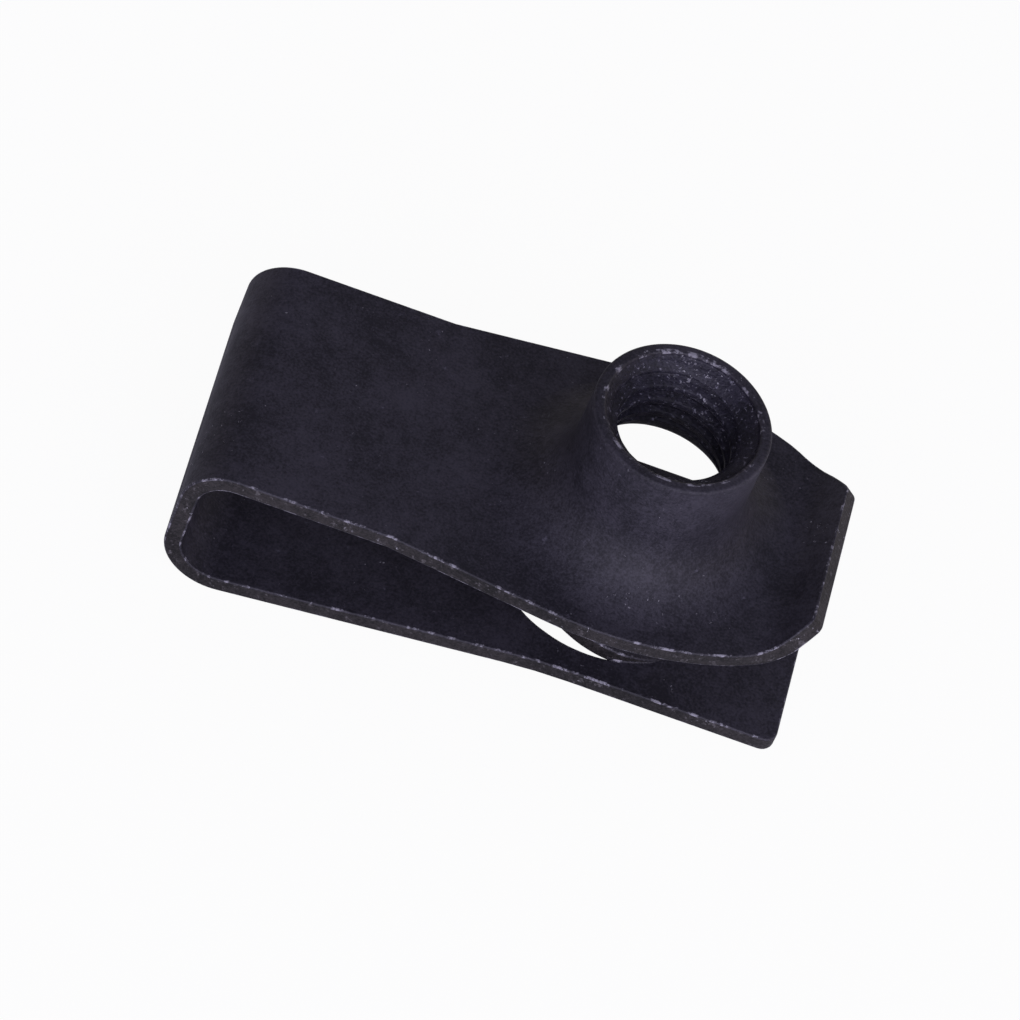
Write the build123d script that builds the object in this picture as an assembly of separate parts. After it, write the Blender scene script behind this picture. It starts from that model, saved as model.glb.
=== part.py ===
from build123d import *

import math
import os

# U clip speed nut: one strip of spring steel, folded to a U, with a drawn and threaded barrel on its
# upper leg and a sprung round tongue, with the bolt's hole in it, on its lower leg. All sizes are
# millimetres.
#
# The origin is on the thread's axis, where the bolt enters the bore from the funnel under it. +Z runs
# up out of the barrel, +X from the fold to the open end, and the legs grip a panel that lies across Z.

# Strip
sheet_thickness = 1.0
strip_width = 15.9

# Barrel: the plain bore is the thread's minor size (M8 x 1.25), and a bevel opens its mouth
bore_radius = 3.324
bore_length = 2.0
mouth_radius = 4.45
mouth_depth = 1.2
barrel_outer_radius = 5.05
barrel_height = 8.3
rim_round = 0.2
outer_flare_radius = 4.0

# Each flare runs this far past the sheet's face, so that it meets the face at a slight angle
flare_sink = 0.03

# Upper leg, seen from the side: the curl's corner is where its two straight parts would meet
fold_reach = 24.2
curl_angle = 45.0
curl_corner = 8.9
curl_length = 2.4
curl_radius = 2.2

# Upper leg, seen from above
head_width = 18.7
cheek_radius = 20.5
cheek_setback = 0.6
flare_angle = 7.4
shoulder_setback = 1.6
tip_width = 9.8
tip_corner_round = 0.9

# Fold
upper_fold_radius = 2.8
lower_fold_radius = 3.3

# Lower leg
leg_gap = 4.9
lower_reach = 11.3
lower_rise_angle = 8.5
lower_kink_setback = 2.5
lower_kink_radius = 25.0
lower_corner_round = 0.8

# Bolt hole, and the round tongue that is lanced about it and bent up from its hinge
bolt_hole_radius = 4.6
lance_radius = 6.35
lance_clearance = 0.03
tongue_hinge = 4.0
tongue_angle = 16.2
tongue_bend_radius = 2.0

# Heights that follow from the sizes above
rim_top = bore_length + mouth_depth
upper_top = rim_top - barrel_height
upper_under = upper_top - sheet_thickness
lower_top = upper_under - leg_gap
lower_under = lower_top - sheet_thickness
middle = (upper_under + lower_top) / 2

# Where the curl starts, and its top edge at the tip
curl_start = curl_corner - curl_radius * math.tan(math.radians(curl_angle / 2))
curl_tip = (
    curl_corner + curl_length * math.cos(math.radians(curl_angle)),
    upper_top + curl_length * math.sin(math.radians(curl_angle)),
)

# The shoulder is as far behind the tip as its setback says, and its rounding takes up most of that
shoulder_reach = curl_tip[0] - shoulder_setback
shoulder_round = 5 * shoulder_setback

# The funnel is a quarter round from the bore's lower end to the upper leg's underside
inner_flare_radius = flare_sink - upper_under

# Blanks are cut this far past what trims them
spare = 5.0


def strip_section():
    """The folded strip from the side, behind the curl: its outer line, thickened inwards."""
    fold_bottom = lower_under - (fold_reach - lower_kink_setback) * math.tan(
        math.radians(lower_rise_angle)
    )
    outer_line = FilletPolyline(
        (curl_start, upper_top),
        (-fold_reach, upper_top),
        (-fold_reach, fold_bottom),
        (-lower_kink_setback, lower_under),
        (lower_reach + spare, lower_under),
        radius=[upper_fold_radius, lower_fold_radius, lower_kink_radius],
    )
    band = offset(outer_line, amount=sheet_thickness, side=Side.LEFT, closed=True)
    return make_face(band.edges())


def upper_outline():
    """The upper leg from above: a straight neck that widens to the head, with a cut-off nose."""
    half_head = head_width / 2
    tip_reach = curl_tip[0]
    cheek_centre = (-cheek_setback, half_head - cheek_radius)
    turn = math.radians(flare_angle)
    flare_end = (
        cheek_centre[0] - cheek_radius * math.sin(turn),
        cheek_centre[1] + cheek_radius * math.cos(turn),
    )
    flare_start = flare_end[0] - (flare_end[1] - strip_width / 2) / math.tan(turn)
    shoulder_y = cheek_centre[1] + math.sqrt(
        cheek_radius**2 - (shoulder_reach - cheek_centre[0]) ** 2
    )
    neck = Line((-fold_reach - spare, strip_width / 2), (flare_start, strip_width / 2))
    flare = Line(neck @ 1, flare_end)
    cheek = RadiusArc(flare @ 1, (shoulder_reach, shoulder_y), cheek_radius)
    shoulder = Line(cheek @ 1, (tip_reach, tip_width / 2))
    nose = Line(shoulder @ 1, (tip_reach, 0))
    middle_line = Line(nose @ 1, (-fold_reach - spare, 0))
    back = Line(middle_line @ 1, neck @ 0)
    half = make_face([neck, flare, cheek, shoulder, nose, middle_line, back])
    half_outline = half + mirror(half, about=Plane.XZ)
    tip_corners = half_outline.vertices().filter_by(lambda v: abs(v.X - tip_reach) < 0.01)
    tip_corners = tip_corners.filter_by(lambda v: abs(v.Y) > 0.01)
    outline = fillet(tip_corners, tip_corner_round)
    shoulders = outline.vertices().filter_by(lambda v: abs(v.X - shoulder_reach) < 0.01)
    return fillet(shoulders, shoulder_round)


def nose():
    """The curled nose: the sheet's upper face, cut to the outline and thickened square to itself."""
    upper_line = FilletPolyline(
        (curl_start - spare, upper_top),
        (curl_corner, upper_top),
        curl_tip,
        radius=curl_radius,
    )
    start_line = Plane.XZ.offset(head_width / 2) * upper_line
    upper_face = Shell.extrude(start_line.wire(), (0, head_width, 0))
    blank = Pos(0, 0, middle) * extrude(upper_outline(), amount=fold_reach)
    cut = [(face & blank).face() for face in upper_face.faces()]
    curled = [face for face in cut if face.center().Z > upper_top + 0.01]
    return [Solid.thicken(face, sheet_thickness) for face in curled]


def lower_outline():
    """The lower leg from above: straight sides and a square end with rounded corners."""
    length = lower_reach + fold_reach + spare
    plate = Pos(lower_reach - length / 2, 0) * Rectangle(length, strip_width)
    corners = plate.vertices().filter_by(lambda v: v.X > 0)
    return fillet(corners, lower_corner_round)


def folded_strip():
    """The strip, bent to its section and cut to the outline of each leg, with its nose."""
    widest = max(head_width, strip_width) + 2 * spare
    bent = extrude(Plane.XZ * strip_section(), amount=widest / 2, both=True)
    above = Pos(0, 0, middle) * extrude(upper_outline(), amount=fold_reach)
    below = Pos(0, 0, middle) * extrude(lower_outline(), amount=-fold_reach)
    return (bent & (above + below)) + nose()


def barrel_body():
    """The barrel and the sheet drawn up round it, as a solid plug."""
    flare_foot = barrel_outer_radius + outer_flare_radius
    flare_bottom = upper_top - flare_sink
    flare_top = flare_bottom + outer_flare_radius
    axis_line = Line((0, upper_under), (0, rim_top))
    rim = Line(axis_line @ 1, (barrel_outer_radius, rim_top))
    wall = Line(rim @ 1, (barrel_outer_radius, flare_top))
    flare = RadiusArc(wall @ 1, (flare_foot, flare_bottom), -outer_flare_radius)
    foot = Line(flare @ 1, (flare_foot, upper_under))
    base = Line(foot @ 1, axis_line @ 0)
    section = make_face([axis_line, rim, wall, flare, foot, base])
    rim_corner = section.vertices().filter_by(lambda v: v.Y > rim_top - 0.01 and v.X > 0.01)
    return revolve(Plane.XZ * fillet(rim_corner, rim_round), Axis.Z)


def barrel_hollow():
    """The bore, its bevelled mouth and the funnel that the drawing leaves under it."""
    funnel_foot = bore_radius + inner_flare_radius
    axis_line = Line((0, upper_under - spare), (0, rim_top + spare))
    above = Line(axis_line @ 1, (mouth_radius, rim_top + spare))
    mouth = Line(above @ 1, (mouth_radius, rim_top))
    bevel = Line(mouth @ 1, (bore_radius, bore_length))
    bore = Line(bevel @ 1, (bore_radius, 0))
    funnel = RadiusArc(bore @ 1, (funnel_foot, -inner_flare_radius), -inner_flare_radius)
    skirt = Line(funnel @ 1, (funnel_foot, upper_under - spare))
    under = Line(skirt @ 1, axis_line @ 0)
    section = make_face([axis_line, above, mouth, bevel, bore, funnel, skirt, under])
    return revolve(Plane.XZ * section, Axis.Z)


def tilted(blank):
    """Turns a blank that is centred under the bore about the tongue's hinge, to the tongue's slope."""
    hinge = Pos(tongue_hinge, 0, lower_under)
    return hinge * Rot(0, tongue_angle, 0) * Pos(-tongue_hinge, 0, 0) * blank


def tongue():
    """The tongue: a round tab about the bolt hole, hinged near the open end and rising to the fold."""
    rise = (tongue_hinge + lance_radius) * math.tan(math.radians(tongue_angle))
    under_line = FilletPolyline(
        (lance_radius, lower_under),
        (tongue_hinge, lower_under),
        (-lance_radius, lower_under + rise),
        radius=tongue_bend_radius,
    )
    band = offset(under_line, amount=sheet_thickness, side=Side.RIGHT, closed=True)
    tab = extrude(Plane.XZ * make_face(band.edges()), amount=lance_radius, both=True)
    return tab & tilted(Cylinder(lance_radius - lance_clearance, leg_gap))


def lance():
    """The round window that the tongue leaves in the lower leg, up to where its bend starts."""
    bend_start = tongue_hinge + tongue_bend_radius * math.tan(math.radians(tongue_angle / 2))
    window = Cylinder(lance_radius, leg_gap)
    fold_side = Pos(bend_start - lance_radius, 0) * Box(2 * lance_radius, 3 * lance_radius, leg_gap)
    return Pos(0, 0, lower_under) * (window & fold_side)


def bolt_hole():
    return tilted(Cylinder(bolt_hole_radius, 2 * leg_gap))


part = folded_strip() + barrel_body() - barrel_hollow()
part = part - lance() + tongue() - bolt_hole()
os.makedirs("parts", exist_ok=True)
export_step(part, "parts/speed_nut.step")
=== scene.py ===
# %% [markdown]
# # A U clip speed nut in phosphated spring steel
# The clip is one strip of spring steel: blanked, drawn up into a barrel, tapped, lanced, folded to a
# U and then phosphated almost black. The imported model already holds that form, with a plain bore, so
# the work here is to dress it: round its sheared edges, cut its thread and give it its finish.

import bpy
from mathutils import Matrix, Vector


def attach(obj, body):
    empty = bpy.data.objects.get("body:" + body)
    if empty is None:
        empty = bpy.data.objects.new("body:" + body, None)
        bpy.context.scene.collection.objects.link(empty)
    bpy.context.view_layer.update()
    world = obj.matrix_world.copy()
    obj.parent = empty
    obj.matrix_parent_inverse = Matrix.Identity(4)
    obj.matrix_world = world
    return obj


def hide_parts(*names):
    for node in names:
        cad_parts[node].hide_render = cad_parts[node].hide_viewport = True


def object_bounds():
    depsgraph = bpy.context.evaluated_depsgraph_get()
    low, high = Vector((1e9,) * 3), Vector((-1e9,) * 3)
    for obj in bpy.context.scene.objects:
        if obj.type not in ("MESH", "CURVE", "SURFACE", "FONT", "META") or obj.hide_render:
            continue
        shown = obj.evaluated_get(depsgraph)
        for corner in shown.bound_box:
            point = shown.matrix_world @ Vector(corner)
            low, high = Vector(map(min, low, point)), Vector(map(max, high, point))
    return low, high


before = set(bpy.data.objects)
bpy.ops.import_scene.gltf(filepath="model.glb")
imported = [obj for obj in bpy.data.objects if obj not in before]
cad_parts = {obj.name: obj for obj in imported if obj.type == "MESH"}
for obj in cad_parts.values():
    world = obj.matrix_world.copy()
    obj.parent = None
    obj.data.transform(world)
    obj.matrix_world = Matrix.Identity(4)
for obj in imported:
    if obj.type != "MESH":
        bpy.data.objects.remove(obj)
model_low, model_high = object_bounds()
print("packed model from", tuple(model_low), "to", tuple(model_high))

# %% Libraries and units
import math

import bmesh
import bpy
from mathutils import Matrix, Vector

MM = 0.001
scene = bpy.context.scene
scene.view_settings.view_transform = "Standard"

# %% [markdown]
# ## Camera
# A long lens, well back from the clip, keeps its long edges nearly parallel, as a small object looks
# from a step away. The camera turns about the middle of the clip: an azimuth and an elevation say
# where it stands, and a roll about its own axis tilts the view.

# %% Camera
VIEW_AZIMUTH = math.radians(-6.5)
VIEW_ELEVATION = math.radians(50.6)
VIEW_ROLL = math.radians(24.5)
VIEW_DISTANCE = 435.8 * MM
AIM_RIGHT = -1.001 * MM
AIM_UP = -1.993 * MM
SENSOR_WIDTH_IN_MM = 36.0
LENS_IN_MM = 279.6
NEAREST_SEEN = 0.01
FARTHEST_SEEN = 10.0


def camera_axes():
    """The camera's right, up and backward directions in the frame."""
    level_right = Vector((math.cos(VIEW_AZIMUTH), math.sin(VIEW_AZIMUTH), 0))
    backward = Vector((
        math.sin(VIEW_AZIMUTH) * math.cos(VIEW_ELEVATION),
        -math.cos(VIEW_AZIMUTH) * math.cos(VIEW_ELEVATION),
        math.sin(VIEW_ELEVATION),
    ))
    turn = Matrix.Rotation(VIEW_ROLL, 3, backward)
    return turn @ level_right, turn @ backward.cross(level_right), backward


def add_camera():
    right, up, backward = camera_axes()
    aim = (model_low + model_high) / 2 + AIM_RIGHT * right + AIM_UP * up
    data = bpy.data.cameras.new("camera")
    data.sensor_width = SENSOR_WIDTH_IN_MM
    data.lens = LENS_IN_MM
    data.clip_start = NEAREST_SEEN
    data.clip_end = FARTHEST_SEEN
    camera = bpy.data.objects.new("camera", data)
    scene.collection.objects.link(camera)
    turn = Matrix((right, up, backward)).transposed().to_4x4()
    camera.matrix_world = Matrix.Translation(aim + VIEW_DISTANCE * backward) @ turn
    scene.camera = camera
    return camera


camera = add_camera()
print("camera at", tuple(round(v, 4) for v in camera.location))

# %% [markdown]
# ## Colours and nodes
# Colours are written as sRGB hex, the way a paint chart gives them, and the shader wants linear
# light, so one function converts them. Another adds a shader node with its settings and its links in
# one call, which keeps the materials below short enough to read.


# %% Colour and node helpers
def linear(hex_colour):
    """An sRGB hex colour as linear red, green, blue and alpha."""
    channels = [int(hex_colour[i:i + 2], 16) / 255 for i in (1, 3, 5)]
    lit = [c / 12.92 if c <= 0.04045 else ((c + 0.055) / 1.055) ** 2.4 for c in channels]
    return (*lit, 1.0)


def add_node(tree, kind, inputs=None, **settings):
    """Adds a node. An input is a value, or the output socket that feeds it."""
    node = tree.nodes.new("ShaderNode" + kind)
    for name, value in settings.items():
        setattr(node, name, value)
    for name, value in (inputs or {}).items():
        if isinstance(value, bpy.types.NodeSocket):
            tree.links.new(value, node.inputs[name])
        else:
            node.inputs[name].default_value = value
    return node


def new_material(name):
    material = bpy.data.materials.new(name)
    material.use_nodes = True
    material.node_tree.nodes.clear()
    return material, material.node_tree


print("a near black as linear light:", tuple(round(c, 4) for c in linear("#1F1E25")))

# %% [markdown]
# ## Floor, backdrop and light
# The clip stands on a plain pale floor in soft studio light. The camera sees plain white behind it.
# What lights the clip, and shows in its reflections, is a sky that is bright near the floor and dim
# overhead, and stronger past the nose than past the fold, as in a room with a white table, a window
# at one side and a dark ceiling. That leaves the flat steel dark and lets its turned edges pick up a
# pale rim.

# %% Floor
FLOOR_SIZE = 3.0
FLOOR_DROP = 0.02 * MM
FLOOR_GLOW = 0.95


def floor_material():
    """Matt white card. The camera sees mostly its even glow, so only a faint shadow is left on it."""
    material, tree = new_material("pale_floor")
    path = add_node(tree, "LightPath")
    paper = add_node(tree, "BsdfDiffuse", {"Color": linear("#F4F4F4")})
    glow = add_node(tree, "Emission", {"Color": (1, 1, 1, 1), "Strength": 1.0})
    share = add_node(
        tree, "Math", {0: path.outputs["Is Camera Ray"], 1: FLOOR_GLOW}, operation="MULTIPLY"
    )
    mix = add_node(
        tree, "MixShader", {0: share.outputs[0], 1: paper.outputs[0], 2: glow.outputs[0]}
    )
    add_node(tree, "OutputMaterial", {"Surface": mix.outputs[0]})
    return material


def add_floor():
    bm = bmesh.new()
    bmesh.ops.create_grid(bm, x_segments=1, y_segments=1, size=FLOOR_SIZE / 2)
    bmesh.ops.translate(bm, verts=bm.verts, vec=(0, 0, model_low.z - FLOOR_DROP))
    mesh = bpy.data.meshes.new("floor")
    bm.to_mesh(mesh)
    bm.free()
    floor = bpy.data.objects.new("floor", mesh)
    floor.data.materials.append(floor_material())
    scene.collection.objects.link(floor)
    return floor


floor = add_floor()
print("floor at", round(model_low.z - FLOOR_DROP, 5))


# %% World
# Heights and sides are parts of a direction's unit length: 0 is level, and 1 is straight up or right
DIMMEST_HEIGHT = 0.75
LEVEL_STRENGTH = 1.0
OVERHEAD_STRENGTH = 0.19
SIDE_REACH = 0.9
FOLD_SIDE_STRENGTH = 0.4
NOSE_SIDE_STRENGTH = 1.3
COOLEST_HEIGHT = 0.5
WARM_WHITE = "#FFF1DE"
COOL_WHITE = "#EDEBFF"


def light_the_world():
    """White behind the clip, and a sky for it that is pale round the sides and dim overhead."""
    world = bpy.data.worlds.new("studio")
    world.use_nodes = True
    scene.world = world
    tree = world.node_tree
    tree.nodes.clear()
    path = add_node(tree, "LightPath")
    place = add_node(tree, "TexCoord")
    split = add_node(tree, "SeparateXYZ", {0: place.outputs["Generated"]})
    height = add_node(
        tree,
        "MapRange",
        {
            "Value": split.outputs["Z"],
            "From Min": 0.0,
            "From Max": DIMMEST_HEIGHT,
            "To Min": LEVEL_STRENGTH,
            "To Max": OVERHEAD_STRENGTH,
        },
    )
    warmth = add_node(
        tree,
        "MapRange",
        {"Value": split.outputs["Z"], "From Min": 0.0, "From Max": COOLEST_HEIGHT},
    )
    tint = add_node(
        tree,
        "Mix",
        {0: warmth.outputs["Result"], 6: linear(WARM_WHITE), 7: linear(COOL_WHITE)},
        data_type="RGBA",
    )
    side = add_node(
        tree,
        "MapRange",
        {
            "Value": split.outputs["X"],
            "From Min": -SIDE_REACH,
            "From Max": SIDE_REACH,
            "To Min": FOLD_SIDE_STRENGTH,
            "To Max": NOSE_SIDE_STRENGTH,
        },
    )
    strength = add_node(
        tree,
        "Math",
        {0: height.outputs["Result"], 1: side.outputs["Result"]},
        operation="MULTIPLY",
    )
    sky = add_node(tree, "Background", {"Color": tint.outputs[2], "Strength": strength.outputs[0]})
    white = add_node(tree, "Background", {"Color": (1, 1, 1, 1), "Strength": 1.0})
    mix = add_node(
        tree,
        "MixShader",
        {0: path.outputs["Is Camera Ray"], 1: sky.outputs[0], 2: white.outputs[0]},
    )
    add_node(tree, "OutputWorld", {"Surface": mix.outputs[0]})


light_the_world()
print("sky:", scene.world.name, "with", len(scene.world.node_tree.nodes), "nodes")


# %% Lamp
def add_lamp(name, position, size, power, colour):
    """A square soft box, in metres and watts, that looks at the middle of the clip."""
    target = (model_low + model_high) / 2
    data = bpy.data.lights.new(name, "AREA")
    data.shape = "SQUARE"
    data.size = size
    data.energy = power
    data.color = linear(colour)[:3]
    lamp = bpy.data.objects.new(name, data)
    lamp.location = target + Vector(position)
    lamp.rotation_mode = "QUATERNION"
    lamp.rotation_quaternion = (-Vector(position)).to_track_quat("-Z", "Y")
    scene.collection.objects.link(lamp)
    return lamp


key = add_lamp(
    "key_softbox", position=(0.08, -0.45, 0.14), size=0.9, power=5.2, colour="#E8E5FF"
)
print("lamp:", key.name, "at", tuple(round(v, 3) for v in key.location))

# %% [markdown]
# ## The strip, folded from one sheet
# The press starts from flat sheet, so each leg is made the same way here: a line is drawn along the
# outside of the metal, the metal's thickness is laid inside it, and that section is swept across the
# strip. A rounded corner of the line is a fold. The two legs meet at the back of the fold, where
# they are welded into one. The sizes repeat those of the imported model, whose box gives the heights
# and reaches.

# %% Sizes of the sheet
SHEET = 1.0 * MM
STRIP_WIDTH = 15.9 * MM
BARREL_HEIGHT = 8.3 * MM
LEG_GAP = 4.9 * MM
UPPER_FOLD_RADIUS = 2.8 * MM
LOWER_FOLD_RADIUS = 3.3 * MM
LOWER_REACH = 11.3 * MM
KINK_SETBACK = 2.5 * MM
KINK_RADIUS = 25.0 * MM
LOWER_CORNER_ROUND = 0.8 * MM
SPARE = 5.0 * MM
UNCUT_WIDTH = 1.5 * STRIP_WIDTH
# Points closer than this count as being at the same height or reach
NEAR = 0.01 * MM

rim_top = model_high.z
upper_top = rim_top - BARREL_HEIGHT
upper_under = upper_top - SHEET
lower_top = upper_under - LEG_GAP
lower_under = lower_top - SHEET
middle = (upper_under + lower_top) / 2
fold_back = model_low.x
print("legs at", round(upper_top / MM, 2), "and", round(lower_under / MM, 2), "mm")


# %% Lines with rounded corners
def rounded(corners, radii, step=math.radians(5)):
    """A line through the corners, each inner one turned into an arc. A radius of 0 keeps its corner."""
    corners = [Vector(c) for c in corners]
    points = [corners[0]]
    for before, corner, after, radius in zip(corners, corners[1:], corners[2:], radii):
        if not radius:
            points.append(corner)
            continue
        back, on = (before - corner).normalized(), (after - corner).normalized()
        half = back.angle(on) / 2
        centre = corner + (back + on).normalized() * radius / math.sin(half)
        first = corner + back * radius / math.tan(half) - centre
        sweep = math.copysign(math.pi - 2 * half, on.cross(back))
        steps = max(2, math.ceil(abs(sweep) / step))
        points += [centre + Matrix.Rotation(sweep * i / steps, 2) @ first for i in range(steps + 1)]
    return points + [corners[-1]]


def swept_sheet(line, width):
    """A sheet across the strip. Its section lies between a line of the side view and its left side."""
    bm = bmesh.new()
    runs = [(b - a).normalized() for a, b in zip(line, line[1:])]
    pairs = []
    for point, before, after in zip(line, runs[:1] + runs, runs + runs[-1:]):
        left = (before + after).normalized().orthogonal()
        across = left * SHEET / left.dot(before.orthogonal())
        pairs.append([bm.verts.new((p.x, -width / 2, p.y)) for p in (point, point + across)])
    section_faces = [bm.faces.new((*a, *reversed(b))) for a, b in zip(pairs, pairs[1:])]
    made = bmesh.ops.extrude_face_region(bm, geom=section_faces)["geom"]
    far_side = [v for v in made if isinstance(v, bmesh.types.BMVert)]
    bmesh.ops.translate(bm, verts=far_side, vec=(0, width, 0))
    bmesh.ops.recalc_face_normals(bm, faces=bm.faces)
    return bm


def box_of(bm):
    """Lowest and highest corner of a bmesh, in millimetres, for a look at what was made."""
    spans = [[v.co[axis] / MM for v in bm.verts] for axis in range(3)]
    return [round(min(s), 2) for s in spans], [round(max(s), 2) for s in spans]


CURL_ANGLE = math.radians(45)
CURL_CORNER = 8.9 * MM
CURL_LENGTH = 2.4 * MM
CURL_RADIUS = 2.2 * MM
CURL_STEPS = 12

curl_start = CURL_CORNER - CURL_RADIUS * math.tan(CURL_ANGLE / 2)
curl_arc = CURL_RADIUS * CURL_ANGLE
flat_end = curl_start + curl_arc + CURL_LENGTH - CURL_RADIUS * math.tan(CURL_ANGLE / 2)
curl_steps = [curl_start + curl_arc * i / CURL_STEPS for i in range(CURL_STEPS, -1, -1)]

# The upper leg is swept flat, with a line across it at every step of the curl to come
upper_line = rounded(
    [(flat_end, upper_top), (fold_back, upper_top), (fold_back, middle)], [UPPER_FOLD_RADIUS]
)
upper_line[1:1] = [Vector((x, upper_top)) for x in curl_steps]
upper = swept_sheet(upper_line, UNCUT_WIDTH)
print("upper leg before trimming:", box_of(upper), "mm")

# %% The lower leg
kink = (-KINK_SETBACK, lower_under)
lowest = model_low.z
HALVINGS = 40


def fold_corner_height():
    """How low the fold's corner is, so that its arc just touches the model's lowest point."""
    low, high = lowest - LOWER_FOLD_RADIUS, lowest
    for _ in range(HALVINGS):
        height = (low + high) / 2
        line = rounded([(fold_back, middle), (fold_back, height), kink], [LOWER_FOLD_RADIUS])
        if min(p.y for p in line) < lowest:
            low = height
        else:
            high = height
    return height


lower_line = rounded(
    [(fold_back, middle), (fold_back, fold_corner_height()), kink, (LOWER_REACH, lower_under)],
    [LOWER_FOLD_RADIUS, KINK_RADIUS],
)
lower = swept_sheet(lower_line, STRIP_WIDTH)


def is_end_corner(edge):
    """Whether an edge is an upright corner of the lower leg's flat end."""
    first, last = [v.co for v in edge.verts]
    at_end = min(first.x, last.x) > LOWER_REACH - NEAR
    return at_end and abs(first.z - last.z) > 0.5 * SHEET


bmesh.ops.bevel(
    lower,
    geom=[e for e in lower.edges if is_end_corner(e)],
    offset=LOWER_CORNER_ROUND,
    offset_type="OFFSET",
    affect="EDGES",
    segments=6,
    profile=0.5,
    material=-1,
)
print("lower leg:", box_of(lower), "mm")

# %% [markdown]
# ## Trimming with cutters
# The blank's outline is easier to draw flat than to model along a curled sheet, so the upper leg is
# cut out of its wide flat sheet by a prism with that outline, and its nose is curled up afterwards,
# much as the press does it. That leaves the cut edges square to the sheet all the way round the nose.
# The round window in the lower leg is cut in the same way. The boolean runs as a modifier on a helper
# object, and its result is read back into a bmesh.

# %% Boolean helper
def helper_object(bm, name):
    mesh = bpy.data.meshes.new(name)
    bm.to_mesh(mesh)
    bm.free()
    helper = bpy.data.objects.new(name, mesh)
    scene.collection.objects.link(helper)
    return helper


def combined(bm, cutter_bm, operation):
    """The boolean of two closed bmeshes, as a new bmesh. Both of the old ones are used up."""
    body = helper_object(bm, "helper_body")
    cutter = helper_object(cutter_bm, "helper_cutter")
    modifier = body.modifiers.new("cut", "BOOLEAN")
    modifier.operation = operation
    modifier.object = cutter
    modifier.solver = "MANIFOLD"
    bpy.context.view_layer.update()
    result = bmesh.new()
    result.from_object(body, bpy.context.evaluated_depsgraph_get())
    for helper in (body, cutter):
        mesh = helper.data
        bpy.data.objects.remove(helper)
        bpy.data.meshes.remove(mesh)
    return result


def prism(outline, low, high):
    """An upright prism over a flat outline."""
    bm = bmesh.new()
    face = bm.faces.new([bm.verts.new((x, y, low)) for x, y in outline])
    made = bmesh.ops.extrude_face_region(bm, geom=[face])["geom"]
    top = [v for v in made if isinstance(v, bmesh.types.BMVert)]
    bmesh.ops.translate(bm, verts=top, vec=(0, 0, high - low))
    bmesh.ops.recalc_face_normals(bm, faces=bm.faces)
    return bm


# %% The head's outline
HEAD_WIDTH = 18.7 * MM
CHEEK_RADIUS = 20.5 * MM
CHEEK_SETBACK = 0.6 * MM
CHEEK_STEPS = 12
FLARE_ANGLE = math.radians(7.4)
SHOULDER_SETBACK = 1.6 * MM
# The angle by which the cheek's points stop short of the shoulder
SHOULDER_LEAD = 0.1
TIP_WIDTH = 9.8 * MM
SHOULDER_ROUND = 8.0 * MM
TIP_CORNER_ROUND = 0.9 * MM


def half_outline():
    """The upper leg's side from above: straight neck, gentle flare, round cheek and cut-off shoulder."""
    tip_reach = CURL_CORNER + CURL_LENGTH * math.cos(CURL_ANGLE)
    cheek_y = HEAD_WIDTH / 2 - CHEEK_RADIUS
    shoulder_reach = tip_reach - SHOULDER_SETBACK
    last = math.asin((shoulder_reach + CHEEK_SETBACK) / CHEEK_RADIUS)
    shoulder = (shoulder_reach, cheek_y + CHEEK_RADIUS * math.cos(last))
    sweep = last - SHOULDER_LEAD + FLARE_ANGLE
    turns = [-FLARE_ANGLE + sweep * i / CHEEK_STEPS for i in range(CHEEK_STEPS + 1)]
    cheek = [
        (-CHEEK_SETBACK + CHEEK_RADIUS * math.sin(t), cheek_y + CHEEK_RADIUS * math.cos(t))
        for t in turns
    ]
    flare_run = (cheek[0][1] - STRIP_WIDTH / 2) / math.tan(FLARE_ANGLE)
    corners = [(fold_back - SPARE, STRIP_WIDTH / 2), (cheek[0][0] - flare_run, STRIP_WIDTH / 2)]
    corners += cheek + [shoulder, (tip_reach, TIP_WIDTH / 2), (tip_reach, 0)]
    radii = [0] * (len(cheek) + 1) + [SHOULDER_ROUND, TIP_CORNER_ROUND]
    return rounded(corners, radii)


def length_along(x):
    """How far along the flat sheet a point lies that is at x once the nose is curled."""
    if x < curl_start:
        return x
    turn = math.asin(min((x - curl_start) / CURL_RADIUS, math.sin(CURL_ANGLE)))
    arc_end = curl_start + CURL_RADIUS * math.sin(turn)
    return curl_start + CURL_RADIUS * turn + (x - arc_end) / math.cos(turn)


def curled(point):
    """Where a point of the flat sheet goes when the nose is curled up."""
    run = point.x - curl_start
    if run <= 0:
        return point
    turn = min(run, curl_arc) / CURL_RADIUS
    over = max(run - curl_arc, 0)
    along = Vector((math.cos(turn), 0, math.sin(turn)))
    square = Vector((-math.sin(turn), 0, math.cos(turn)))
    arc_x = curl_start + CURL_RADIUS * math.sin(turn)
    arc_z = upper_top + CURL_RADIUS * (1 - math.cos(turn))
    arc_end = Vector((arc_x, point.y, arc_z))
    return arc_end + over * along + (point.z - upper_top) * square


side = [Vector((length_along(p.x), p.y)) for p in half_outline()]
outline = side + [Vector((p.x, -p.y)) for p in reversed(side[:-1])]
upper = combined(upper, prism(outline, middle - SPARE, rim_top + 2 * SPARE), "INTERSECT")
for vert in upper.verts:
    vert.co = curled(vert.co)
print("upper leg trimmed and curled:", box_of(upper), "mm,", len(upper.faces), "faces")

# %% [markdown]
# ## The tongue
# A round tab is sheared in the lower leg and bent up from a hinge near the open end, so that it
# springs against the panel and centres the bolt. It is made like the legs, cut round by a cylinder
# that leans with it, and then joined to the leg above the window it came from.

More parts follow.
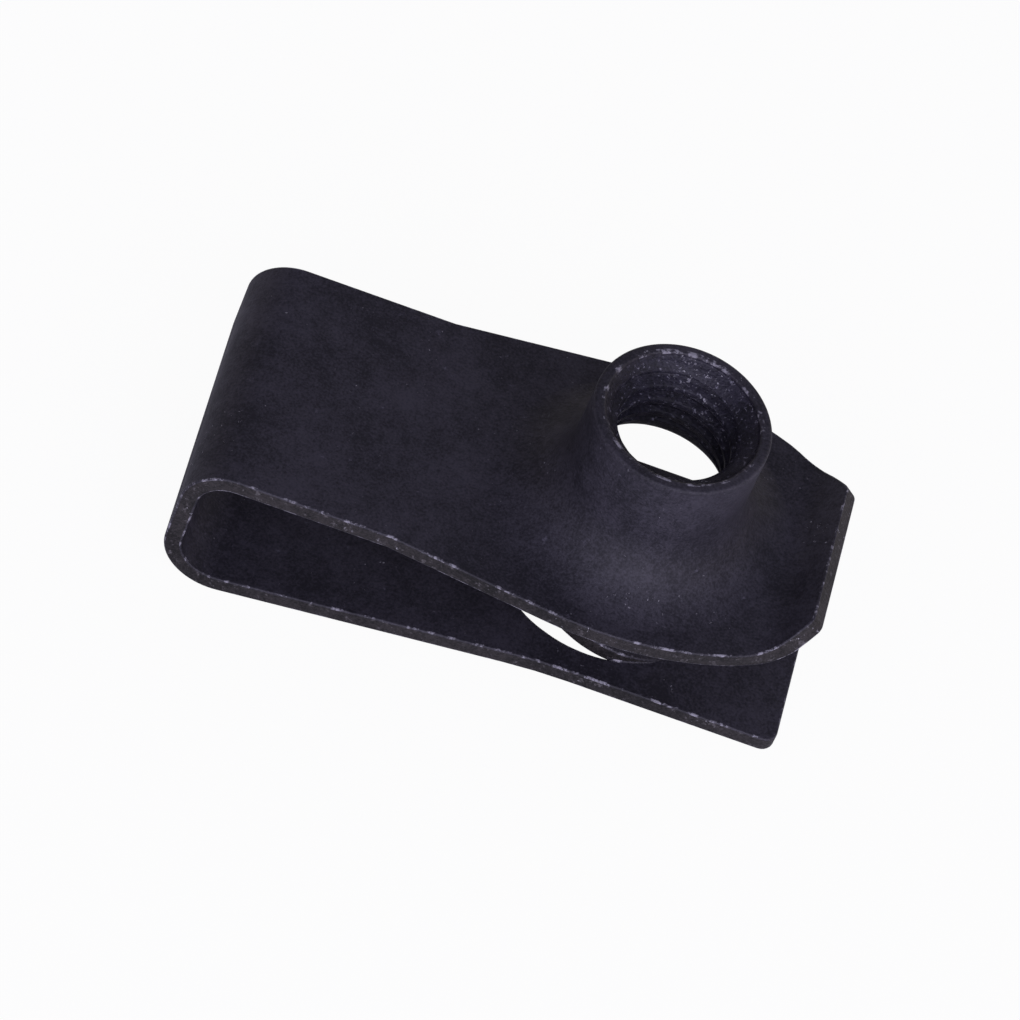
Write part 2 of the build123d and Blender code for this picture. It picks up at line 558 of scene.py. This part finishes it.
# %% Window, tongue and bolt hole
BOLT_HOLE_RADIUS = 4.6 * MM
LANCE_RADIUS = 6.35 * MM
LANCE_CLEARANCE = 0.03 * MM
TONGUE_HINGE = 4.0 * MM
TONGUE_ANGLE = math.radians(16.2)
TONGUE_BEND_RADIUS = 2.0 * MM
ROUND_STEPS = 96
OVERLAP = 0.05 * MM
BEND_STEP = math.radians(3)


def upright_cylinder(radius, height):
    """A cylinder centred on the thread's axis at the lower leg."""
    bm = bmesh.new()
    bmesh.ops.create_cone(
        bm, cap_ends=True, segments=ROUND_STEPS, radius1=radius, radius2=radius, depth=height
    )
    bmesh.ops.translate(bm, verts=bm.verts, vec=(0, 0, lower_under))
    return bm


def leaned(bm):
    """Turns a cutter about the tongue's hinge to the tongue's slope."""
    hinge = Vector((TONGUE_HINGE, 0, lower_under))
    bmesh.ops.rotate(bm, verts=bm.verts, cent=hinge, matrix=Matrix.Rotation(TONGUE_ANGLE, 3, "Y"))
    return bm


bend_start = TONGUE_HINGE + TONGUE_BEND_RADIUS * math.tan(TONGUE_ANGLE / 2)


def window_cutter():
    """The round window, up to just past the start of the tongue's bend."""
    bm = upright_cylinder(LANCE_RADIUS, LEG_GAP)
    bmesh.ops.bisect_plane(
        bm,
        geom=bm.verts[:] + bm.edges[:] + bm.faces[:],
        plane_co=(bend_start + OVERLAP, 0, 0),
        plane_no=(1, 0, 0),
        clear_outer=True,
    )
    bmesh.ops.holes_fill(bm, edges=bm.edges)
    bmesh.ops.recalc_face_normals(bm, faces=bm.faces)
    return bm


def bent_tongue():
    rise = (TONGUE_HINGE + 2 * LANCE_RADIUS) * math.tan(TONGUE_ANGLE)
    line = rounded(
        [
            (-2 * LANCE_RADIUS, lower_under + rise),
            (TONGUE_HINGE, lower_under),
            (LANCE_RADIUS, lower_under),
        ],
        [TONGUE_BEND_RADIUS],
        step=BEND_STEP,
    )
    tab = swept_sheet(line, 3 * LANCE_RADIUS)
    edge = leaned(upright_cylinder(LANCE_RADIUS - LANCE_CLEARANCE, LEG_GAP))
    return combined(tab, edge, "INTERSECT")


tongue = bent_tongue()
print("tongue:", box_of(tongue), "mm")
lower = combined(lower, window_cutter(), "DIFFERENCE")
lower = combined(lower, tongue, "UNION")
lower = combined(lower, leaned(upright_cylinder(BOLT_HOLE_RADIUS, 2 * LEG_GAP)), "DIFFERENCE")
print("lower leg with its tongue:", box_of(lower), "mm,", len(lower.faces), "faces")

# %% [markdown]
# ## Where the barrel stands
# The drawing of the barrel pulls the sheet up in a wide flare outside and a funnel inside. The flat
# metal stops at the foot of each, so a short cone takes the middle out of the upper leg. The cone has
# as many sides as the barrel will have, so that the two meet point to point.

# %% Open the sheet for the barrel
SPIN_STEPS = 160
BARREL_RADIUS = 5.05 * MM
FLARE_RADIUS = 4.0 * MM
FLARE_SINK = 0.03 * MM
BORE_RADIUS = 3.324 * MM
STEEP = 0.5

funnel_radius = FLARE_SINK - upper_under
flare_centre = (BARREL_RADIUS + FLARE_RADIUS, upper_top - FLARE_SINK + FLARE_RADIUS)
funnel_centre = (BORE_RADIUS + funnel_radius, 0.0)
flare_foot = flare_centre[0] - math.sqrt(FLARE_RADIUS**2 - (flare_centre[1] - upper_top) ** 2)
funnel_foot = funnel_centre[0] - math.sqrt(funnel_radius**2 - (funnel_centre[1] - upper_under) ** 2)


def radius_of(point):
    return math.hypot(point.x, point.y)


def foot_cutter():
    """A cone through both feet, carried on a little past each face of the sheet."""
    slope = (flare_foot - funnel_foot) / SHEET
    bm = bmesh.new()
    bmesh.ops.create_cone(
        bm,
        cap_ends=True,
        segments=SPIN_STEPS,
        radius1=funnel_foot - slope * SHEET,
        radius2=flare_foot + slope * SHEET,
        depth=3 * SHEET,
    )
    bmesh.ops.translate(bm, verts=bm.verts, vec=(0, 0, (upper_top + upper_under) / 2))
    return bm


def open_foot(bm):
    """Deletes the cone's own wall, which leaves two open rings."""
    wall = [
        f for f in bm.faces
        if abs(f.normal.z) < STEEP and all(radius_of(v.co) < funnel_foot + NEAR for v in f.verts)
    ]
    bmesh.ops.delete(bm, geom=wall, context="FACES")
    return len(wall)


upper = combined(upper, foot_cutter(), "DIFFERENCE")
print("wall faces opened:", open_foot(upper), "of", SPIN_STEPS)


# %% Weld the two legs
WELD_DISTANCE = 0.002 * MM


def add_mesh(bm, other):
    """Adds another bmesh's faces to this one, and frees it."""
    spare_mesh = bpy.data.meshes.new("spare")
    other.to_mesh(spare_mesh)
    other.free()
    bm.from_mesh(spare_mesh)
    bpy.data.meshes.remove(spare_mesh)


def open_back(bm):
    """Deletes a leg's end at the back of the fold, where the other leg is welded on."""
    caps = [f for f in bm.faces if all(abs(v.co.z - middle) < NEAR for v in f.verts)]
    bmesh.ops.delete(bm, geom=caps, context="FACES")
    return len(caps)


strip = upper
print("ends opened:", open_back(strip), open_back(lower))
add_mesh(strip, lower)
bmesh.ops.remove_doubles(strip, verts=strip.verts, dist=WELD_DISTANCE)
ring_edges = sum(1 for e in strip.edges if e.is_boundary)
print("open edges after welding:", ring_edges, "in two rings of about", SPIN_STEPS)

# %% Name the sheared faces
SHEARED_STEEL = 1
# Bevel faces and the mouth's edge: rubbed wear, with a painted highlight in pale patches
WORN_EDGE_PAINTED_HIGHLIGHT = 2
# The bore: darker as painted shade in its grooves, with pale patches painted as glints
TAPPED_STEEL_PAINTED_SHADE = 3
# How much of a face's normal points sideways, up or forwards when the face is a cut
LEAST_SIDEWAYS = 0.2
MOST_UPWARDS = 0.3
LEAST_FORWARDS = 0.6


def is_sheared(face):
    """Whether the press cut this face: it stands across the sheet, and isn't part of the fold."""
    centre = face.calc_center_median()
    side = abs(face.normal.y) > LEAST_SIDEWAYS
    past_fold = centre.x > model_low.x + 0.5 * STRIP_WIDTH
    end = abs(face.normal.z) < MOST_UPWARDS and past_fold
    tip = face.normal.x > LEAST_FORWARDS and centre.x > curl_start + curl_arc
    return side or end or tip


def mark_sheared(bm):
    bm.normal_update()
    for face in bm.faces:
        face.material_index = SHEARED_STEEL if is_sheared(face) else 0
    return sum(1 for face in bm.faces if face.material_index == SHEARED_STEEL)


print("sheared faces:", mark_sheared(strip))

# %% [markdown]
# ## Rounded edges
# A press leaves no perfect corner: one edge of each cut is rolled over, the other has a fine burr
# that tumbling has worn round. Every sharp edge of the strip gets a real bevel with three segments,
# which catches a thin broken line of light along the clip. The new faces are given their own finish,
# because the black coat is thinnest there; its pale patches are partly that wear and partly a painted
# highlight along the line.

# %% Bevel the strip
SHARP = math.radians(35)
EDGE_ROUND = 0.11 * MM
CRACK_END = 0.4 * MM
CRACK_WIDTH = 0.25 * MM


def ends_the_crack(edge):
    """Whether an edge is where the cut round the tongue closes: there is no room for a bevel there."""
    centre = (edge.verts[0].co + edge.verts[1].co) / 2
    on_cut = abs(radius_of(centre) - LANCE_RADIUS) < CRACK_WIDTH
    on_leg = centre.z < lower_top + 0.5 * SHEET
    return on_cut and on_leg and abs(centre.x - bend_start) < CRACK_END


def round_edges(bm):
    sharp = [
        e for e in bm.edges
        if e.is_manifold and e.calc_face_angle() > SHARP and not ends_the_crack(e)
    ]
    made = bmesh.ops.bevel(
        bm,
        geom=sharp,
        offset=EDGE_ROUND,
        offset_type="OFFSET",
        affect="EDGES",
        segments=3,
        profile=0.5,
        clamp_overlap=False,
        material=-1,
    )
    # The bevel's faces take the worn edge finish, whose pale patches are partly painted highlight
    for face in made["faces"]:
        face.material_index = WORN_EDGE_PAINTED_HIGHLIGHT
    return len(sharp), len(made["faces"])


print("edges rounded, faces made:", round_edges(strip))

# %% [markdown]
# ## The barrel
# The barrel is a surface of revolution, so its section is drawn once and spun about the thread's
# axis: up the outer flare and wall, over the rim, and down the bevelled mouth, bore and funnel. The
# inside is drawn in fine steps, so that the thread can be pressed into it afterwards.

# %% The barrel's section
THREAD_STEP = 0.055 * MM
RIM_ROUND = 0.2 * MM
MOUTH_RADIUS = 4.45 * MM
MOUTH_DEPTH = 1.2 * MM
MOUTH_ROUND = 0.12 * MM
# Width of the mouth's edge strip that is rubbed and given a painted highlight
WORN_HIGHLIGHT_STRIP = 0.17 * MM
# How far the fine rows reach below the bore, into the funnel
FUNNEL_ROWS = 3.4 * MM
# The section stops at this share of the turn to each foot, and a bridge closes the rest
FOOT_SHARE = 0.97


def arc(centre, radius, start, end, steps):
    """Points of an arc in the section's plane, from one angle to another."""
    turns = [start + (end - start) * i / steps for i in range(steps + 1)]
    return [(centre[0] + radius * math.cos(t), centre[1] + radius * math.sin(t)) for t in turns]


def inner_radius(z):
    """The plain radius of the mouth, bore and funnel at a height."""
    if z > rim_top - MOUTH_DEPTH:
        return BORE_RADIUS + (MOUTH_RADIUS - BORE_RADIUS) * (z - rim_top + MOUTH_DEPTH) / MOUTH_DEPTH
    if z > 0:
        return BORE_RADIUS
    return funnel_centre[0] - math.sqrt(funnel_radius**2 - z**2)


def barrel_section():
    foot_turn = math.asin((flare_centre[1] - upper_top) / FLARE_RADIUS)
    points = arc(flare_centre, FLARE_RADIUS, math.pi + FOOT_SHARE * foot_turn, math.pi, 24)
    rim_centre = (BARREL_RADIUS - RIM_ROUND, rim_top - RIM_ROUND)
    points += arc(rim_centre, RIM_ROUND, 0, math.pi / 2, 6)
    cone_turn = math.atan2(MOUTH_RADIUS - BORE_RADIUS, MOUTH_DEPTH)
    points.append((MOUTH_RADIUS + WORN_HIGHLIGHT_STRIP, rim_top))
    half_turn = (math.pi / 2 - cone_turn) / 2
    mouth_centre = (MOUTH_RADIUS + MOUTH_ROUND * math.tan(half_turn), rim_top - MOUTH_ROUND)
    points += arc(mouth_centre, MOUTH_ROUND, math.pi / 2, math.pi - cone_turn, 5)
    rows = math.ceil((points[-1][1] + FUNNEL_ROWS) / THREAD_STEP)
    for row in range(1, rows):
        z = points[-1][1] - THREAD_STEP
        points.append((inner_radius(z), z))
    low_turn = math.asin(-points[-1][1] / funnel_radius)
    end_turn = math.asin(-upper_under / funnel_radius)
    last_turn = math.pi + FOOT_SHARE * end_turn
    return points + arc(funnel_centre, funnel_radius, math.pi + low_turn, last_turn, 16)[1:]


section = barrel_section()
print("section points:", len(section), "from", section[0], "to", section[-1])


# %% Spin the barrel
def spin_barrel(bm, points):
    verts = [bm.verts.new((r, 0, z)) for r, z in points]
    edges = [bm.edges.new(pair) for pair in zip(verts, verts[1:])]
    bmesh.ops.spin(
        bm,
        geom=verts + edges,
        cent=(0, 0, 0),
        axis=(0, 0, 1),
        angle=2 * math.pi,
        steps=SPIN_STEPS,
        use_merge=True,
        use_normal_flip=False,
    )


barrel = bmesh.new()
spin_barrel(barrel, section)
barrel_ends = sum(1 for e in barrel.edges if e.is_boundary)
print("barrel faces:", len(barrel.faces), "open edges:", barrel_ends)

# %% [markdown]
# ## The thread
# The thread is M8 x 1.25, and it is cut, not modelled as a separate coil: each point of the bore is
# moved outwards by the depth of the groove at its angle and height. A groove climbs one pitch in a
# turn. Where the funnel is already wider than the groove, nothing moves, so the thread runs out by
# itself, as a tap leaves it. In the bevelled mouth the first turn is only part-cut: a shallow groove
# that fades out under the rim. The mouth's edge gets the worn edge finish, where bolts rub it: its
# pale patches are partly that wear and partly a painted highlight.

# %% Press in the thread
PITCH = 1.25 * MM
ROOT_RADIUS = 4.0 * MM
# Shares of half a pitch from the groove's middle: the tops of its flanks, and the edge of its bed
GROOVE_TOP = 0.75
GROOVE_BED = 0.125
GROOVE_HEIGHT = rim_top - 1.35 * MM
GROOVE_ANGLE = math.pi / 2
RUNOUT_DEPTH = 0.2 * MM
RUNOUT_START = 0.08 * MM
RUNOUT_FADE = 0.2 * MM
RIM_KEPT = 0.5 * MOUTH_ROUND
MOUTH_EDGE = 1.2 * MOUTH_ROUND
TAPPED_MARGIN = 0.1 * MM


def thread_radius(angle, z):
    """The thread's radius: the crest's, or more in a groove with 60 degree flanks and soft corners."""
    turns = (z - GROOVE_HEIGHT) / PITCH - (angle - GROOVE_ANGLE) / (2 * math.pi)
    off_groove = 2 * abs(turns - round(turns))
    depth = min(max((GROOVE_TOP - off_groove) / (GROOVE_TOP - GROOVE_BED), 0), 1)
    soft = depth * depth * (3 - 2 * depth)
    crest = inner_radius(z) if z > 0 else BORE_RADIUS
    under_edge = min(max((rim_top - z - RUNOUT_START) / RUNOUT_FADE, 0), 1)
    root = max(ROOT_RADIUS, crest + RUNOUT_DEPTH * under_edge)
    return crest + (root - crest) * (0.5 * depth + 0.5 * soft)


def press_thread(bm):
    moved = 0
    for vert in bm.verts:
        radius = radius_of(vert.co)
        angle = math.atan2(vert.co.y, vert.co.x)
        wanted = thread_radius(angle, vert.co.z)
        if radius < wanted and vert.co.z < rim_top - RIM_KEPT:
            vert.co.x *= wanted / radius
            vert.co.y *= wanted / radius
            moved += 1
    return moved


def is_tapped(centre):
    """Whether a face's middle lies in the tapped part of the bore."""
    return radius_of(centre) < MOUTH_RADIUS + TAPPED_MARGIN and centre.z < rim_top - MOUTH_EDGE


def is_mouth_edge(centre):
    """Whether a face's middle lies on the mouth's edge, rubbed by bolts and given a painted highlight.
    """
    return radius_of(centre) < MOUTH_RADIUS + WORN_HIGHLIGHT_STRIP and centre.z > rim_top - MOUTH_EDGE


def give_finish(bm, finish, belongs):
    """Gives a finish to the faces whose middle belongs, and counts them."""
    faces = [f for f in bm.faces if belongs(f.calc_center_median())]
    for face in faces:
        face.material_index = finish
    return len(faces)


print("points moved for the thread:", press_thread(barrel))
print("tapped faces:", give_finish(barrel, TAPPED_STEEL_PAINTED_SHADE, is_tapped))
print("faces of the mouth's edge:", give_finish(barrel, WORN_EDGE_PAINTED_HIGHLIGHT, is_mouth_edge))

# %% [markdown]
# ## One piece of steel
# The barrel grows out of the sheet, so the two meshes become one. The barrel stops just short of each
# foot, and a narrow bridge between the two rings closes the surface there. It also takes up the few
# points of the sheet's ring that lie on the nose's curl.

# %% Join the barrel to the strip
def bridge_at(bm, z):
    """Bridges the two open rings nearest to a height."""
    rings = [
        e for e in bm.edges
        if e.is_boundary and all(abs(v.co.z - z) < 0.5 * SHEET for v in e.verts)
    ]
    return len(bmesh.ops.bridge_loops(bm, edges=rings)["faces"])


add_mesh(strip, barrel)
print("faces bridged:", bridge_at(strip, upper_top), bridge_at(strip, upper_under))
bmesh.ops.recalc_face_normals(strip, faces=strip.faces)
print("open edges left:", sum(1 for e in strip.edges if not e.is_manifold))
print("volume in mm3:", round(strip.calc_volume(signed=True) / MM**3, 1))

# %% [markdown]
# ## The finish
# Phosphate is a crust of tiny crystals grown on the steel, then oiled: nearly black, faintly violet
# and matt, with cloudy patches where it took unevenly, and pale flecks painted in as glints where a
# crystal catches light. The sheared edges hold less of it and look browner. On the worn corners it is
# rubbed thin in places, and pale patches there are partly that wear and partly a painted highlight,
# a broken line of glints. The tapped thread is a rough mixture of both: darker, partly as painted
# shade in its grooves, with pale patches painted as glints. One function makes all four, since only
# their tones, gloss, grain, rubbing and painted glints differ. Each pattern has a size in
# millimetres. Real crystals are too fine to show, so their grain is drawn coarser.

# %% Sizes and levels of the coat
CLOUD_SIZE = 5.0 * MM
MOTTLE_SIZE = 0.7 * MM
CRYSTAL_SIZE = 0.16 * MM
FLECK_SIZE = 0.3 * MM
CROWD_SIZE = 3.0 * MM
SWELL_SIZE = 3.0 * MM
SWELL_HEIGHT = 0.05 * MM
BLEND = 0.4
TONE_LEVELS = (0.42, 0.58)
# Levels of the pale patches: partly rubbed wear, partly painted highlight and glints
WEAR_AND_GLINT_LEVEL, WEAR_AND_GLINT_REACH, WEAR_AND_GLINT_FADE = 0.66, 0.2, 0.08
CROWD_LEVELS = (0.52, 0.66)
FLECK_LEVELS, FLECK_REACH = (0.8, 0.84), 0.1
SHEEN_LEVELS, SHEEN_SPREAD = (0.3, 0.7), 0.08
# The flecks' colour is a painted glint: crystals catching the light
GLINT_FLECK_COLOUR = "#9C9AA3"
CRUST_IOR = 1.5
# The crust scatters most of what it would mirror, so its highlight is weaker than its IOR gives
CRUST_SPECULAR = 0.22
print("patterns from", CRYSTAL_SIZE / MM, "to", CLOUD_SIZE / MM, "mm")


# %% Phosphated steel
def phosphate_material(
    name, tones, mean_roughness, fleck_share, wear_and_glint_share, patch_size, grain_height
):
    """Phosphated steel: cloudy colour, crystal grain, flecks painted as glints, patches of wear and
    painted highlight.
    """
    material, tree = new_material(name)
    at = add_node(tree, "TexCoord").outputs["Object"]
    clouds, mottle, crystals, patches, flecks, crowd, swell = [
        add_node(
            tree,
            "TexNoise",
            {"Vector": at, "Scale": 1 / size, "Detail": detail, "Roughness": roughness},
        ).outputs[0]
        for size, detail, roughness in (
            (CLOUD_SIZE, 5.0, 0.6),
            (MOTTLE_SIZE, 4.0, 0.7),
            (CRYSTAL_SIZE, 2.0, 0.7),
            (patch_size, 5.0, 0.7),
            (FLECK_SIZE, 3.0, 0.8),
            (CROWD_SIZE, 2.0, 0.6),
            (SWELL_SIZE, 2.0, 0.5),
        )
    ]
    broad = add_node(tree, "Mix", {0: BLEND, 2: clouds, 3: mottle}, data_type="FLOAT").outputs[0]
    mixed = add_node(tree, "Mix", {0: BLEND, 2: broad, 3: crystals}, data_type="FLOAT").outputs[0]
    # Pale patches: partly rubbed wear, partly painted highlight and glints
    wear_and_glint_from = WEAR_AND_GLINT_LEVEL - WEAR_AND_GLINT_REACH * wear_and_glint_share
    fleck_from, fleck_to = [level - FLECK_REACH * fleck_share for level in FLECK_LEVELS]
    tone_share, wear_and_glint, crowded, fleck, roughness = [
        add_node(
            tree,
            "MapRange",
            {"Value": value, "From Min": low, "From Max": high, "To Min": first, "To Max": last},
        ).outputs[0]
        for value, low, high, first, last in (
            (mixed, *TONE_LEVELS, 0.0, 1.0),
            (patches, wear_and_glint_from, wear_and_glint_from + WEAR_AND_GLINT_FADE, 0.0, 1.0),
            (crowd, *CROWD_LEVELS, 0.0, 1.0),
            (flecks, fleck_from, fleck_to, 0.0, 1.0),
            (
                broad,
                *SHEEN_LEVELS,
                mean_roughness + SHEEN_SPREAD,
                mean_roughness - SHEEN_SPREAD,
            ),
        )
    ]
    # Pale flecks, painted as glints where crystals catch the light
    painted_glint = add_node(tree, "Math", {0: fleck, 1: crowded}, operation="MULTIPLY").outputs[0]
    dark, pale, wear_and_glint_tone = tones
    colour = linear(dark)
    for share, over in ((tone_share, pale), (wear_and_glint, wear_and_glint_tone), (painted_glint, GLINT_FLECK_COLOUR)):
        colour = add_node(
            tree, "Mix", {0: share, 6: colour, 7: linear(over)}, data_type="RGBA"
        ).outputs[2]
    normal = add_node(
        tree, "Bump", {"Height": crystals, "Distance": grain_height, "Strength": 1.0}
    ).outputs[0]
    normal = add_node(
        tree,
        "Bump",
        {"Height": swell, "Distance": SWELL_HEIGHT, "Strength": 1.0, "Normal": normal},
    ).outputs[0]
    shader = add_node(
        tree,
        "BsdfPrincipled",
        {
            "Base Color": colour,
            "Roughness": roughness,
            "Normal": normal,
            "IOR": CRUST_IOR,
            "Specular IOR Level": CRUST_SPECULAR,
        },
    )
    add_node(tree, "OutputMaterial", {"Surface": shader.outputs[0]})
    return material


# %% The four finishes
finishes = [
    # The whole coat on rolled sheet: near black and violet, with a broad soft sheen and no mirror image
    phosphate_material(
        "black_phosphated_steel",
        tones=("#1F1E25", "#38363F", "#4C4A56"),
        mean_roughness=0.54,
        fleck_share=1.3,
        wear_and_glint_share=0.0,
        patch_size=0.8 * MM,
        grain_height=0.025 * MM,
    ),
    # Cut faces are torn and hold a thinner coat: browner and rougher, with small paler patches
    phosphate_material(
        "sheared_phosphated_steel",
        tones=("#141314", "#2F2C2D", "#524F52"),
        mean_roughness=0.5,
        fleck_share=1.6,
        wear_and_glint_share=0.4,
        patch_size=0.5 * MM,
        grain_height=0.04 * MM,
    ),
    # Handling rubs the rounded edges smooth and thin; pale patches, partly that wear and partly painted
    # highlight, make a broken line
    phosphate_material(
        "worn_edge_with_painted_highlight",
        tones=("#222127", "#3B3941", "#87858F"),
        mean_roughness=0.33,
        fleck_share=1.5,
        wear_and_glint_share=0.62,
        patch_size=0.7 * MM,
        grain_height=0.03 * MM,
    ),
    # A tap leaves torn flanks under the coat: the coarsest grain, darker as painted shade in the
    # grooves, with pale patches painted as glints
    phosphate_material(
        "tapped_steel_painted_shade_and_glints",
        tones=("#15141B", "#2D2B37", "#7A7886"),
        mean_roughness=0.36,
        fleck_share=1.9,
        wear_and_glint_share=0.35,
        patch_size=0.25 * MM,
        grain_height=0.07 * MM,
    ),
]
print("finishes:", [m.name for m in finishes])


# %% The finished clip
def finished_object(name, bm, materials):
    mesh = bpy.data.meshes.new(name)
    bm.to_mesh(mesh)
    bm.free()
    for polygon in mesh.polygons:
        polygon.use_smooth = True
    for material in materials:
        mesh.materials.append(material)
    piece = bpy.data.objects.new(name, mesh)
    scene.collection.objects.link(piece)
    even = piece.modifiers.new("even_normals", "WEIGHTED_NORMAL")
    even.mode = "FACE_AREA"
    even.weight = 60
    return piece


clip = finished_object("clip", strip, finishes)
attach(clip, "root")
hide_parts("speed_nut")
print("clip faces:", len(clip.data.polygons))
